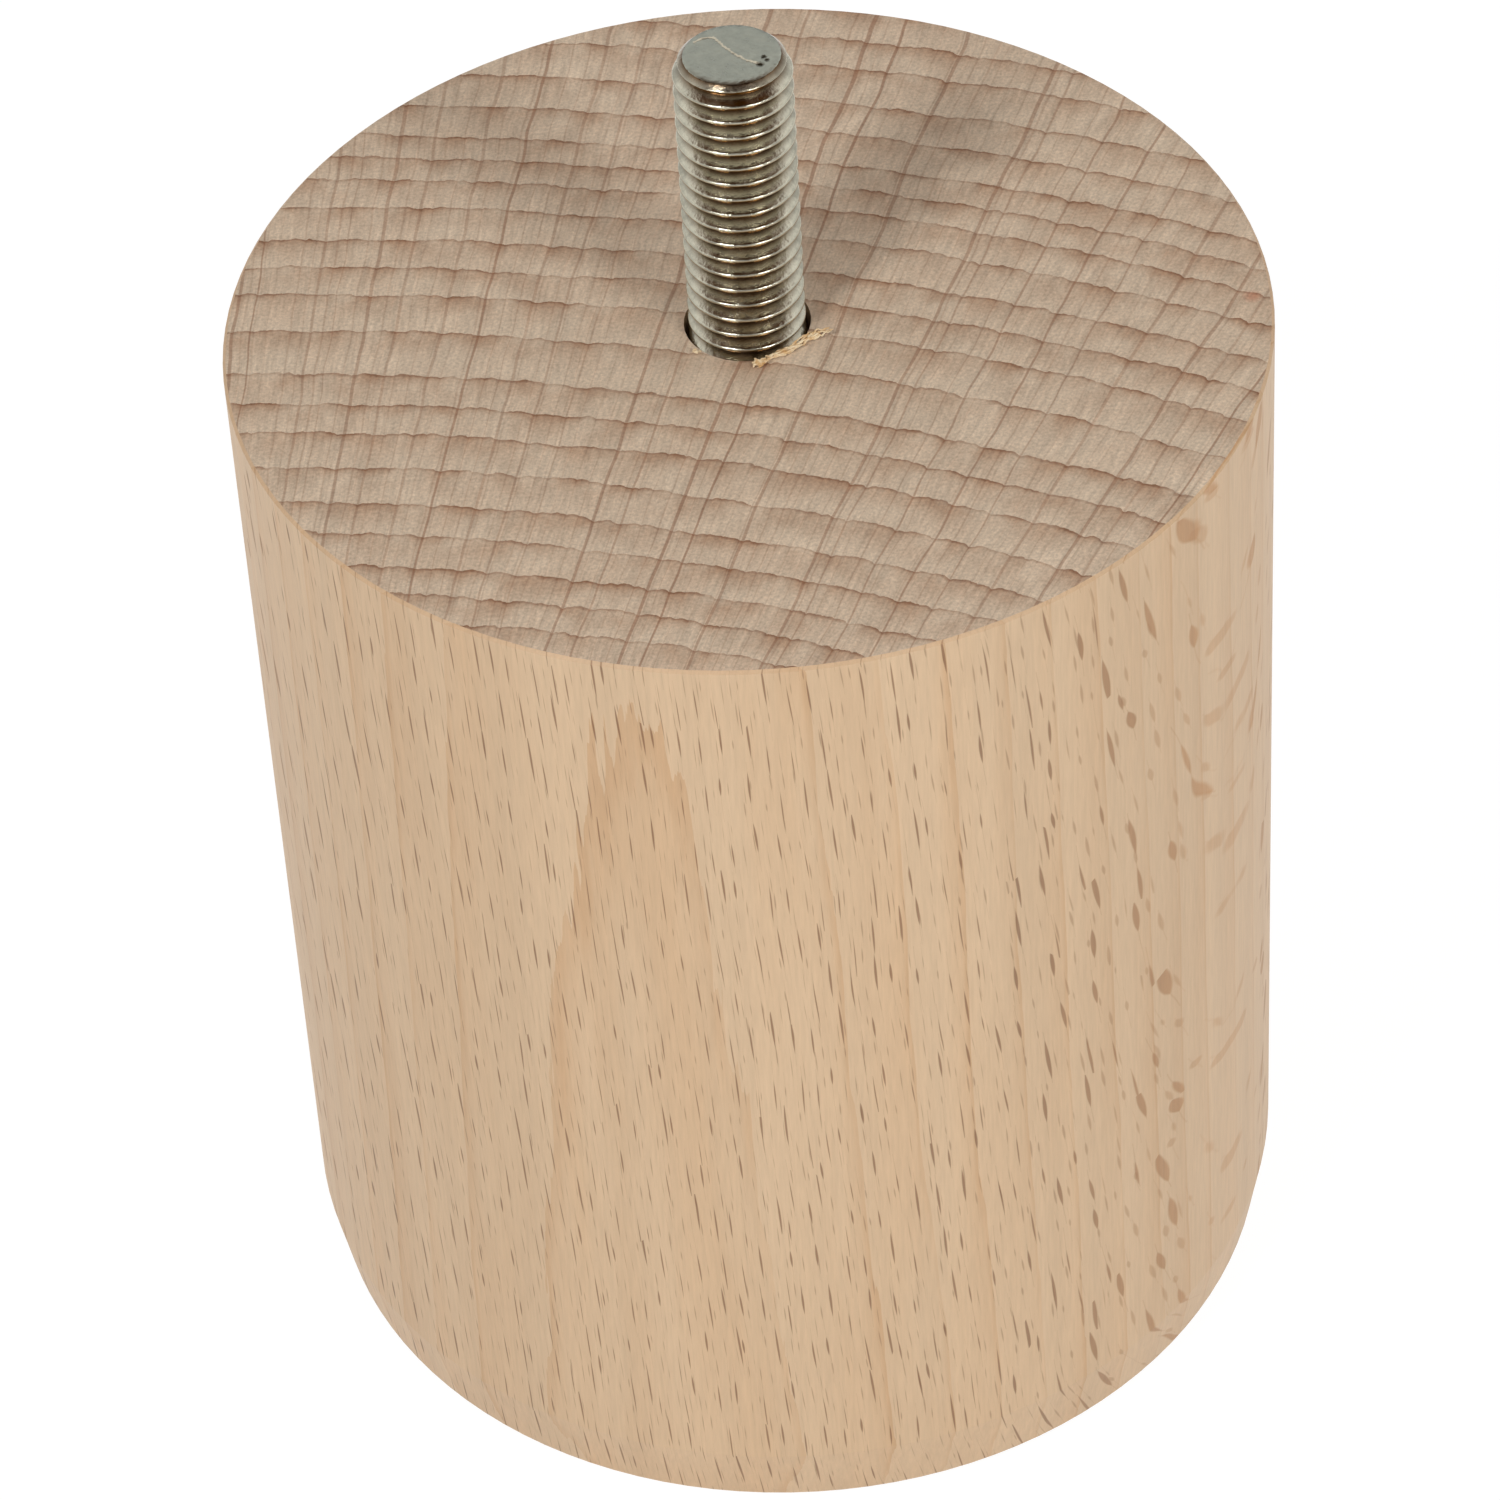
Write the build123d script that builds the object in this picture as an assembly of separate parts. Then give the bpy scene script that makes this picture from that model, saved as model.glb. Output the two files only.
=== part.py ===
from build123d import *
from build123d.topology import SkipClean
import math
import os

# Turned wooden furniture leg with a steel hanger bolt standing up out of its sawn top.
# Millimetres. The origin is the centre of the foot face, and +Z runs up the leg and along the bolt.

# Leg body, one turned billet of beech. It tapers a little just above the foot, whose edge is chamfered
leg_diameter = 70.0
leg_height = 80.0
foot_taper_height = 6.0
foot_taper_angle = 10.0
foot_edge_chamfer = 1.25
top_edge_break = 0.2

# Hanger bolt, from the end that stands out of the leg down to its point.
# The screw end is buried in the wood, so it is a plain round of its thread's mean diameter
stud_height = 22.0
shank_diameter = 7.1
shank_length = 6.0
screw_end_diameter = 6.4
screw_end_length = 27.0
point_length = 5.0

# Metric machine thread with 60 degree flanks, right-handed
thread_diameter = 8.0
thread_pitch = 1.25
end_flat_diameter = 6.8
end_chamfer_angle = 45.0
crest_arcs = 12

# Hole in the leg: a clearance mouth round the shank, then a bore for the screw end
mouth_clearance = 0.25
mouth_spare_depth = 1.0
screw_clearance = 0.05
bore_spare_depth = 2.0
drill_point_angle = 118.0

# The metric thread form: each flank's slope, and the flat on the crest as a share of the pitch
metric_flank_angle = 30.0
metric_crest_share = 1 / 8

# How far the thread cutter stands out of the blank, so that the two cross cleanly
cutter_overrun = 0.08

leg_radius = leg_diameter / 2
thread_radius = thread_diameter / 2
flank_slope = math.tan(math.radians(metric_flank_angle))
groove_width = (1 - metric_crest_share) * thread_pitch
root_radius = thread_radius - groove_width / 2 / flank_slope
shank_radius = shank_diameter / 2
screw_end_radius = screw_end_diameter / 2

stud_top = leg_height + stud_height
shank_bottom = leg_height - shank_length
point_top = shank_bottom - screw_end_length
point_tip = point_top - point_length


def turned(outline):
    """A solid of revolution about the leg's axis, from the closed half section in the XZ plane."""
    return revolve(make_face((Plane.XZ * outline).edges()), Axis.Z)


def leg_blank():
    """The turned billet: chamfered foot edge, short taper, straight side, and a top edge just broken."""
    foot_radius = leg_radius - foot_taper_height * math.tan(math.radians(foot_taper_angle))
    blank = turned(Polyline(
        (0, 0),
        (foot_radius, 0),
        (leg_radius, foot_taper_height),
        (leg_radius, leg_height - top_edge_break),
        (leg_radius - top_edge_break, leg_height),
        (0, leg_height),
        close=True,
    ))
    foot_edge = blank.faces().sort_by(Axis.Z)[0].edges()
    return chamfer(foot_edge, foot_edge_chamfer)


def bolt_hole():
    """The stepped hole for the bolt, ending in the cone that the drill leaves."""
    mouth_radius = thread_radius + mouth_clearance
    mouth_bottom = shank_bottom - mouth_spare_depth
    bore_radius = screw_end_radius + screw_clearance
    bore_bottom = point_tip - bore_spare_depth
    drill_cone = bore_radius / math.tan(math.radians(drill_point_angle / 2))
    return turned(Polyline(
        (0, leg_height),
        (mouth_radius, leg_height),
        (mouth_radius, mouth_bottom),
        (bore_radius, mouth_bottom),
        (bore_radius, bore_bottom),
        (0, bore_bottom - drill_cone),
        close=True,
    ))


def one_turn_cutter(bottom):
    """One turn of the thread groove: a V wound up the axis, standing a little out of the blank."""
    outer_radius = thread_radius + cutter_overrun
    outer_half = groove_width / 2 + cutter_overrun * flank_slope
    section = Plane.XZ * Polyline(
        (root_radius, bottom),
        (outer_radius, bottom - outer_half),
        (outer_radius, bottom + outer_half),
        close=True,
    )
    path = Helix(thread_pitch, thread_pitch, outer_radius, center=(0, 0, bottom))
    return sweep(make_face(section.edges()), path=path, is_frenet=True)


def stud_blank():
    """The round end above the face before threading, drawn as arcs to keep each stretch of crest short."""
    step = 360 / crest_arcs
    rim = [CenterArc((0, 0), thread_radius, n * step, step).edge() for n in range(crest_arcs)]
    blank = extrude(make_face(rim), amount=stud_height, clean=False)
    top_edges = blank.faces().sort_by(Axis.Z)[-1].edges()
    chamfer_width = thread_radius - end_flat_diameter / 2
    chamfer_height = chamfer_width / math.tan(math.radians(end_chamfer_angle))
    return Pos(0, 0, leg_height) * chamfer(top_edges, chamfer_height, chamfer_width)


def hanger_bolt():
    """The whole bolt. Its thread is cut one turn at a time, and runs out into the shank inside the hole."""
    hidden_end = turned(Polyline(
        (0, leg_height),
        (shank_radius, leg_height),
        (shank_radius, shank_bottom),
        (screw_end_radius, shank_bottom),
        (screw_end_radius, point_top),
        (0, point_tip),
        close=True,
    ))
    first_turn = leg_height - thread_pitch
    cutter = one_turn_cutter(first_turn)
    turns = math.ceil((stud_top - first_turn) / thread_pitch) + 1
    with SkipClean():
        bolt = stud_blank() + hidden_end
        for turn in range(turns):
            bolt = bolt - Pos(0, 0, turn * thread_pitch) * cutter
    return bolt


parts = {
    "leg_body": leg_blank() - bolt_hole(),
    "hanger_bolt": hanger_bolt(),
}

os.makedirs("parts", exist_ok=True)
for node, solid in parts.items():
    export_step(solid, f"parts/{node}.step")
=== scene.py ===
import math
import bpy
from mathutils import Matrix, Vector


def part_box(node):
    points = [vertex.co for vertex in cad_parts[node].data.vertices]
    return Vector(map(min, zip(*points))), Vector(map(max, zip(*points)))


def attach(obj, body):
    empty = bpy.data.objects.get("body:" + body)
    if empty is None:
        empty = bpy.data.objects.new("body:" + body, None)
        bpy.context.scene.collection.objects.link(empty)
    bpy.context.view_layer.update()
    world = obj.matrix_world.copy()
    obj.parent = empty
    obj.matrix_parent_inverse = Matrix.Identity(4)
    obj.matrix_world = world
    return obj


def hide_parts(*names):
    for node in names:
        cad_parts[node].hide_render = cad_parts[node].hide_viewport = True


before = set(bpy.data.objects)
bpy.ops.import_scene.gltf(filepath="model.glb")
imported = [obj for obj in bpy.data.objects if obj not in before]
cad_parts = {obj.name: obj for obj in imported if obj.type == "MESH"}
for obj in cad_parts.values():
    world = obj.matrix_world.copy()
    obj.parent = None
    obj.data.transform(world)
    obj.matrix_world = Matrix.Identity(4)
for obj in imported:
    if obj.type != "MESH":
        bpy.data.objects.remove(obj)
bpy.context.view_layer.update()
print("frame loaded:", sorted(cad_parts))

scene = bpy.context.scene
scene.view_settings.view_transform = "Standard"

mm = 0.001
metreInMm = 1000
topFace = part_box("leg_body")[1].z    # metres, the sawn top that the bolt stands out of
boltLow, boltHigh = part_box("hanger_bolt")
noiseLow, noiseHigh = 0.3, 0.7       # most of a noise's values lie between these


def hexColour(text):  # sRGB hex to the linear values that Blender's sockets take
    channels = [int(text[n:n + 2], 16) / 255 for n in (0, 2, 4)]
    linear = [c / 12.92 if c <= 0.04045 else ((c + 0.055) / 1.055) ** 2.4 for c in channels]
    return (*linear, 1.0)


white = hexColour("FFFFFF")


# links maps an input to a socket, to a node (its first output in use) or to a plain value
def addNode(tree, kind, links=None, **settings):
    node = tree.nodes.new(kind)
    for name, value in settings.items():
        setattr(node, name, value)
    for key, value in (links or {}).items():
        if isinstance(value, bpy.types.Node):
            value = next(output for output in value.outputs if output.enabled)
        if isinstance(value, bpy.types.NodeSocket):
            tree.links.new(value, node.inputs[key])
        else:
            node.inputs[key].default_value = value
    return node


def newMaterial(name):
    material = bpy.data.materials.new(name)
    material.use_nodes = True
    material.node_tree.nodes.clear()
    return material, material.node_tree


def setCurve(node, spots):  # straight runs between the spots of a Float Curve node
    line = node.mapping.curves[0]
    line.points[0].location = spots[0]
    line.points[-1].location = spots[-1]
    for spot in spots[1:-1]:
        line.points.new(*spot)
    for point in line.points:
        point.handle_type = "VECTOR"
    node.mapping.update()


# a tree with a guide and named inputs; inputs maps a name to a socket type
def geometryTree(name, inputs):
    tree = bpy.data.node_groups.new(name, "GeometryNodeTree")
    tree.interface.new_socket("Geometry", in_out="OUTPUT", socket_type="NodeSocketGeometry")
    tree.interface.new_socket("Guide", in_out="INPUT", socket_type="NodeSocketGeometry")
    for label, kind in inputs.items():
        tree.interface.new_socket(label, in_out="INPUT", socket_type=kind)
    return tree, addNode(tree, "NodeGroupInput").outputs, addNode(tree, "NodeGroupOutput")


# runs the tree once, on the guide's points and edges, and keeps its result as a plain mesh
def meshFromTree(name, tree, values, guide=((), ())):
    lines = bpy.data.meshes.new(name + "Guide")
    lines.from_pydata(*guide, ())
    carrier = bpy.data.objects.new(name + "Guide", lines)
    scene.collection.objects.link(carrier)
    modifier = carrier.modifiers.new("nodes", "NODES")
    modifier.node_group = tree
    sockets = {item.name: item.identifier for item in tree.interface.items_tree if item.in_out == "INPUT"}
    for label, value in values.items():
        modifier[sockets[label]] = value
    graph = bpy.context.evaluated_depsgraph_get()
    mesh = bpy.data.meshes.new_from_object(carrier.evaluated_get(graph), depsgraph=graph)
    carrier.modifiers.clear()
    bpy.data.objects.remove(carrier)
    piece = bpy.data.objects.new(name, mesh)
    scene.collection.objects.link(piece)
    return piece


# camera

photoCamera = {
    "distance": 0.4478,      # metres from the middle of the top face
    "elevation": 38.876,     # degrees above the horizon
    "yaw": 0.196,            # degrees: small turns that put the leg where the photograph has it
    "pitch": 3.651,
    "roll": -3.425,
    "lens": 161.2,           # mm
    "sensor": 36.0,
}


def makeCamera():
    data = bpy.data.cameras.new("camera")
    camera = bpy.data.objects.new("camera", data)
    scene.collection.objects.link(camera)
    data.sensor_width = photoCamera["sensor"]
    data.lens = photoCamera["lens"]
    rise = math.radians(photoCamera["elevation"])
    aim = Matrix((
        (1, 0, 0),
        (0, -math.sin(rise), -math.cos(rise)),
        (0, math.cos(rise), -math.sin(rise)),
    ))
    view = (
        Matrix.Rotation(math.radians(photoCamera["roll"]), 3, "Z")
        @ Matrix.Rotation(math.radians(photoCamera["pitch"]), 3, "X")
        @ Matrix.Rotation(math.radians(photoCamera["yaw"]), 3, "Y")
        @ aim
    )
    turn = Matrix((view[0], -view[1], -view[2])).transposed().to_4x4()
    back = Vector((0, -math.cos(rise), math.sin(rise))) * photoCamera["distance"]
    camera.matrix_world = Matrix.Translation(Vector((0, 0, topFace)) + back) @ turn
    scene.camera = camera


makeCamera()
print("camera placed")

# studio: a white paper sweep, bright at the sides and behind, a dark ceiling, and a lamp each side in front

studio = {
    "floorSize": 6.0,          # metres
    "paper": "F4F4F2",
    "paperGlow": 0.85,         # share of the paper that the eye sees as plain white
    "glow": 1.1,               # how bright that share is
    "level": 1.13,             # brightness of the surroundings at their best, shared out by the next two
    "surround": (              # from the front round to the back
        (0.0, 0.26), (0.35, 0.56), (0.5, 1.0), (0.75, 0.94), (1.0, 0.68),
    ),
    "overhead": (              # from the horizon up to the ceiling
        (0.0, 0.67), (0.5, 0.67), (0.58, 1.0), (0.68, 0.9), (0.82, 0.22), (1.0, 0.14),
    ),
    "ceiling": "AC6818",       # unlit timber above the lamps
    "ceilingRise": (0.68, 0.88),                      # how high it starts, and is all that shows
    "keyLamp": ((-0.48, -0.64, 0.74), 0.22, 4.15),    # place and size in metres, watts
    "sideLamp": ((0.50, -0.64, 0.52), 0.28, 2.9),
}


def makeFloor():
    half = studio["floorSize"] / 2
    corners = [(-half, -half, 0), (half, -half, 0), (half, half, 0), (-half, half, 0)]
    mesh = bpy.data.meshes.new("floor")
    mesh.from_pydata(corners, [], [(0, 1, 2, 3)])
    floor = bpy.data.objects.new("floor", mesh)
    scene.collection.objects.link(floor)
    material, tree = newMaterial("mattWhitePaper")  # shows only a faint contact shadow
    path = addNode(tree, "ShaderNodeLightPath").outputs
    seen = path["Is Camera Ray"]
    for ray in ("Is Glossy Ray", "Is Transmission Ray"):
        seen = addNode(tree, "ShaderNodeMath", {0: seen, 1: path[ray]}, operation="MAXIMUM")
    share = addNode(tree, "ShaderNodeMath", {0: seen, 1: studio["paperGlow"]}, operation="MULTIPLY")
    paper = addNode(tree, "ShaderNodeBsdfDiffuse", {"Color": hexColour(studio["paper"])})
    glow = addNode(tree, "ShaderNodeEmission", {"Color": white, "Strength": studio["glow"]})
    mixed = addNode(tree, "ShaderNodeMixShader", {0: share, 1: paper, 2: glow})
    addNode(tree, "ShaderNodeOutputMaterial", {"Surface": mixed})
    mesh.materials.append(material)


def makeWorld():
    world = bpy.data.worlds.new("studioWorld")
    scene.world = world
    world.use_nodes = True
    tree = world.node_tree
    tree.nodes.clear()
    path = addNode(tree, "ShaderNodeLightPath").outputs
    gaze = addNode(tree, "ShaderNodeTexCoord").outputs["Generated"]
    direction = addNode(tree, "ShaderNodeSeparateXYZ", {0: gaze}).outputs
    frontToBack = addNode(tree, "ShaderNodeMapRange", {0: direction["Y"], 1: -1.0, 2: 1.0})
    surround = addNode(tree, "ShaderNodeFloatCurve", {"Value": frontToBack})
    setCurve(surround, studio["surround"])
    overhead = addNode(tree, "ShaderNodeFloatCurve", {"Value": direction["Z"]})
    setCurve(overhead, studio["overhead"])
    light = addNode(tree, "ShaderNodeMath", {0: surround, 1: overhead}, operation="MULTIPLY")
    light = addNode(tree, "ShaderNodeMath", {0: light, 1: studio["level"]}, operation="MULTIPLY")
    low, full = studio["ceilingRise"]
    high = addNode(tree, "ShaderNodeMapRange", {0: direction["Z"], 1: low, 2: full})
    ceiling = hexColour(studio["ceiling"])
    tint = addNode(tree, "ShaderNodeMix", {0: high, 6: white, 7: ceiling}, data_type="RGBA")
    around = addNode(tree, "ShaderNodeBackground", {"Color": tint, "Strength": light})
    backdrop = addNode(tree, "ShaderNodeBackground", {"Color": white, "Strength": 1.0})
    mixed = addNode(tree, "ShaderNodeMixShader", {0: path["Is Camera Ray"], 1: around, 2: backdrop})
    addNode(tree, "ShaderNodeOutputWorld", {"Surface": mixed})


def makeLamp(name):
    place, size, watts = studio[name]
    data = bpy.data.lights.new(name, "AREA")
    data.shape = "DISK"
    data.size = size
    data.energy = watts
    lamp = bpy.data.objects.new(name, data)
    scene.collection.objects.link(lamp)
    lamp.location = place
    lamp.rotation_euler = (Vector((0, 0, topFace)) - Vector(place)).to_track_quat("-Z", "Y").to_euler()


makeFloor()
makeWorld()
makeLamp("keyLamp")
makeLamp("sideLamp")
print("studio lit")

# beech, turned and sanded on the side and sawn on the end grain.
# The grain is a solid of rings, rays and fibres about the heart of the tree, so that top and side agree.

beech = {
    "heart": (-44.0, -150.0),    # mm from the leg's axis to the heart of the tree
    "rings": (                   # mm from the heart to the end of each year's growth
        117.5, 121.2, 124.0, 126.5, 129.0, 132.0, 135.0, 138.5, 142.0, 145.0, 148.0, 152.5, 156.5,
        159.5, 162.5, 166.0, 169.0, 171.5, 174.0, 177.5, 181.0, 185.0, 188.0, 191.5, 196.0,
    ),
    "ringTilt": 0.025,           # the rings lean out by this for each mm down the leg
    "ringWave": 1.5,             # mm
    "fray": 0.14,                # mm that the fibres ruffle each ring
    "lateFade": 0.55,            # how fast the late wood sets in, for each mm before the year's end
    "lineWidth": (0.3, 0.05),    # mm before the year's end, where its line starts and is full
    "latePatch": (0.3, 1.0),     # how strongly the late wood shows, from patch to patch
    "rayNick": 0.24,             # mm that a ray pulls each ring towards the heart on the end grain
    "grainLean": 0.075,          # the grain leans round by this for each mm up the leg
    "stray": 0.9,                # mm that the rays wander
    "endRays": (2.9, 0.11),      # mm: gap round the tree and half width, on the end grain
    "endFineRays": (1.05, 0.06),
    "sideRays": (1.75, 4.4, 1.7, 0.085),    # mm: gap round the tree, gap up it, half height, half width
    "sideFineRays": (1.0, 2.8, 0.9, 0.05),
    "raySeeds": (5.0, 11.0),     # for the side's rays and fine rays
    "raySwell": 1.8,             # how much broader rays look where the side cuts along them
    "broadening": (0.6, 0.1),    # how squarely the side cuts them, where that starts and is full
    "endUpright": (0.8, 0.95),   # how far up a face looks, where end grain starts and is full
    "endBlur": (-0.04, 0.04),    # mm outside and inside a ray's edge
    "sideBlur": (-0.03, 0.04),
    "strayCells": (1 / 9, 1 / 9, 1 / 16),    # noise cells in a mm: across the leg twice, then up it
    "waveCells": (1 / 14, 1 / 14, 1 / 70),
    "frayCells": (1.1, 1.1, 0.07),
    "patchCells": (0.35, 0.35, 0.03),
    "fibreCells": (4.2, 4.2, 0.3),
    "bandCells": (0.4, 0.4, 0.012),
    "sawCells": (2.6, 0.25, 0),  # along the rings, then out from the heart
    "fibreTone": (0.06, 0.2),    # how far the fibres lighten and darken the side and the end grain
    "bandTone": 0.04,
    "sawTone": 0.16,
    "roughness": (0.5, 0.78),    # of the side and the end grain
    "side": "D5B998",            # early wood, sanded
    "sideLate": "C69A6C",
    "sideLine": "B98A5C",
    "dash": "70431F",            # a ray cut across
    "fleck": "BB8856",           # a ray's broad face
    "end": "D7C4AC",             # early wood, sawn across
    "endLate": "A47B5B",
    "endLine": "7B5238",
    "endRay": "87583A",
    "sideShares": (0.36, 0.25, 0.4, 0.68),    # strength of late wood, its line, fine rays and rays
    "endShares": (0.9, 0.65, 0.28, 0.62),
    "arris": "CBA47B",
    "arrisShare": 0.35,
    "stain": "C0693F",
    "stainShare": 0.4,
    "stainEdge": (0.75, 0.25),   # mm from its middle, where it starts and is full
    "stainPlace": (33.6, -0.6),  # mm from the leg's axis
}


# one upright lens in each cell of a sheet wrapped round the tree
def sideRayMask(tree, along, h, broad, sizes, seed):
    gapAround, gapUp, halfHeight, halfWidth = sizes
    shortest, tallest = 0.45 * halfHeight, 1.3 * halfHeight
    narrowest, widest = 0.4 * halfWidth, 1.2 * halfWidth
    cellX = addNode(tree, "ShaderNodeMath", {0: along, 1: 1 / gapAround, 2: seed}, operation="MULTIPLY_ADD")
    cellY = addNode(tree, "ShaderNodeMath", {0: h, 1: 1 / gapUp, 2: seed}, operation="MULTIPLY_ADD")
    cell = addNode(tree, "ShaderNodeCombineXYZ", {0: cellX, 1: cellY})
    rays = addNode(tree, "ShaderNodeTexVoronoi", {"Vector": cell, "Scale": 1.0, "Randomness": 0.85})
    rays.voronoi_dimensions = "2D"
    middle = rays.outputs["Position"]
    gaps = (gapAround, gapUp, 0)
    offset = addNode(tree, "ShaderNodeVectorMath", {0: cell, 1: middle}, operation="SUBTRACT")
    offset = addNode(tree, "ShaderNodeVectorMath", {0: offset, 1: gaps}, operation="MULTIPLY")
    offset = addNode(tree, "ShaderNodeVectorMath", {0: offset}, operation="ABSOLUTE")
    aside, above, _ = addNode(tree, "ShaderNodeSeparateXYZ", {0: offset}).outputs
    chance = addNode(tree, "ShaderNodeSeparateColor", {0: rays.outputs["Color"]}).outputs
    tall = addNode(tree, "ShaderNodeMapRange", {0: chance[0], 3: shortest, 4: tallest})
    wide = addNode(tree, "ShaderNodeMapRange", {0: chance[1], 3: narrowest, 4: widest})
    rise = addNode(tree, "ShaderNodeMath", {0: above, 1: tall}, operation="DIVIDE")
    rise = addNode(tree, "ShaderNodeMath", {0: rise, 1: rise}, operation="MULTIPLY")
    lens = addNode(tree, "ShaderNodeMath", {0: 1.0, 1: rise}, operation="SUBTRACT", use_clamp=True)
    swell = addNode(tree, "ShaderNodeMapRange", {0: broad, 3: 1.0, 4: beech["raySwell"]})
    inside = addNode(tree, "ShaderNodeMath", {0: lens, 1: wide}, operation="MULTIPLY")
    inside = addNode(tree, "ShaderNodeMath", {0: inside, 1: swell}, operation="MULTIPLY")
    inside = addNode(tree, "ShaderNodeMath", {0: inside, 1: aside}, operation="SUBTRACT")
    outer, inner = beech["sideBlur"]
    return addNode(tree, "ShaderNodeMapRange", {
        0: inside,
        1: outer,
        2: inner,
    }, interpolation_type="SMOOTHSTEP")


# how far the nearest ray is, in mm, and a mask of its line
def endRayLines(tree, along, sizes):
    gapAround, halfWidth = sizes
    narrowest, widest = 0.5 * halfWidth, 1.2 * halfWidth
    cell = addNode(tree, "ShaderNodeMath", {0: along, 1: gapAround}, operation="DIVIDE")
    rays = addNode(tree, "ShaderNodeTexVoronoi", {"Scale": 1.0, "Randomness": 0.75}, voronoi_dimensions="1D")
    tree.links.new(cell.outputs[0], rays.inputs["W"])
    aside = addNode(tree, "ShaderNodeMath", {0: rays.outputs["Distance"], 1: gapAround}, operation="MULTIPLY")
    chance = addNode(tree, "ShaderNodeSeparateColor", {0: rays.outputs["Color"]}).outputs
    wide = addNode(tree, "ShaderNodeMapRange", {0: chance[0], 3: narrowest, 4: widest})
    inside = addNode(tree, "ShaderNodeMath", {0: wide, 1: aside}, operation="SUBTRACT")
    outer, inner = beech["endBlur"]
    mask = addNode(tree, "ShaderNodeMapRange", {
        0: inside,
        1: outer,
        2: inner,
    }, interpolation_type="SMOOTHSTEP")
    bold = addNode(tree, "ShaderNodeMapRange", {0: chance[1], 3: 0.35, 4: 1.0})
    return aside, addNode(tree, "ShaderNodeMath", {0: mask, 1: bold}, operation="MULTIPLY")


# the years of growth inside this place, with a fraction for the year under way
def ringNumber(tree, ring):
    edges = beech["rings"]
    first, last = edges[0], edges[-1]
    years = len(edges) - 1
    share = addNode(tree, "ShaderNodeMapRange", {0: ring, 1: first, 2: last})
    curve = addNode(tree, "ShaderNodeFloatCurve", {"Value": share})
    setCurve(curve, [((edge - first) / (last - first), year / years) for year, edge in enumerate(edges)])
    return addNode(tree, "ShaderNodeMath", {0: curve, 1: float(years)}, operation="MULTIPLY")


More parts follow.
